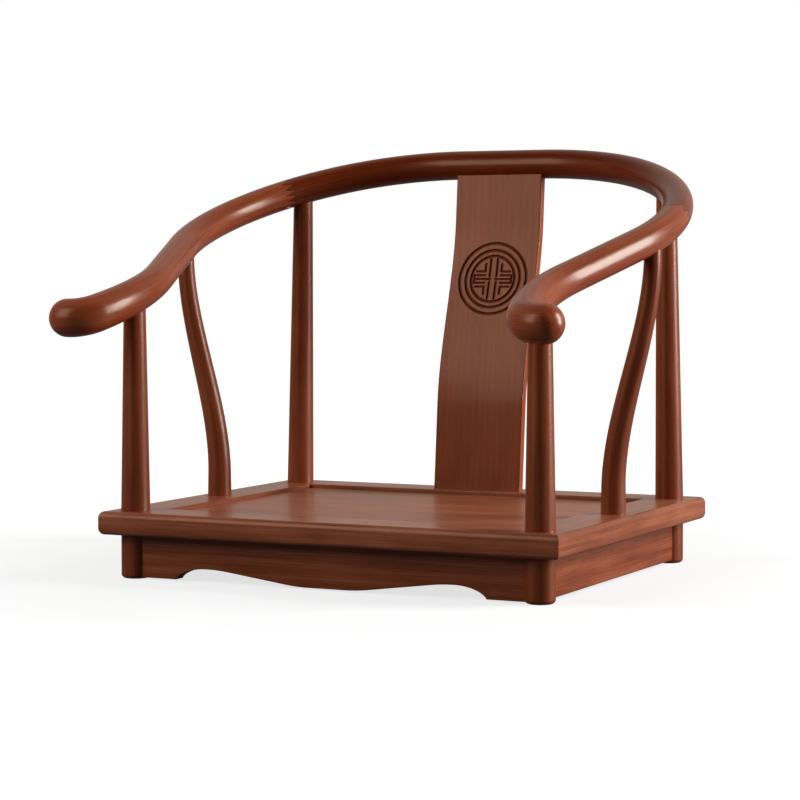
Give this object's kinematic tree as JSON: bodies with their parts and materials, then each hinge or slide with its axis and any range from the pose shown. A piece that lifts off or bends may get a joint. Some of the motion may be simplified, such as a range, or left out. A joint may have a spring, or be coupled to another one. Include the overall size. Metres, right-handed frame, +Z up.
{
  "type": "floor chair",
  "caption": "Legless horseshoe-back floor chair in dark hardwood: rounded crest rail with outswept grips, S-curved splat, splayed posts, framed panel seat on cusped aprons.",
  "frame": {"origin": "floor level, under the middle of the chair's outline", "axes": "+Z up, -Y the way the sitter faces, +X to the right as seen from the front"},
  "size_m": [0.6694, 0.621, 0.5246],
  "materials": {
    "lacquered_hardwood": "satin lacquer over red-brown hardwood",
    "bare_hardwood": "planed, unlacquered"
  },
  "bodies": {
    "root": {"crest_rail_back": "lacquered_hardwood", "crest_rail_left_arm": "lacquered_hardwood", "crest_rail_right_arm": "lacquered_hardwood", "back_splat": "lacquered_hardwood", "front_post_left": "lacquered_hardwood", "front_post_right": "lacquered_hardwood", "back_post_left": "lacquered_hardwood", "back_post_right": "lacquered_hardwood", "side_post_left": "lacquered_hardwood", "side_post_right": "lacquered_hardwood", "seat_front_rail": "lacquered_hardwood", "seat_back_rail": "lacquered_hardwood", "seat_left_rail": "lacquered_hardwood", "seat_right_rail": "lacquered_hardwood", "seat_panel": "lacquered_hardwood", "front_apron": "lacquered_hardwood", "back_apron": "lacquered_hardwood", "left_apron": "lacquered_hardwood", "right_apron": "lacquered_hardwood", "panel_batten_left": "bare_hardwood", "panel_batten_right": "bare_hardwood", "mitre_dowel_front_left": "bare_hardwood", "mitre_dowel_front_right": "bare_hardwood", "mitre_dowel_back_left": "bare_hardwood", "mitre_dowel_back_right": "bare_hardwood"}
  },
  "joints": []
}
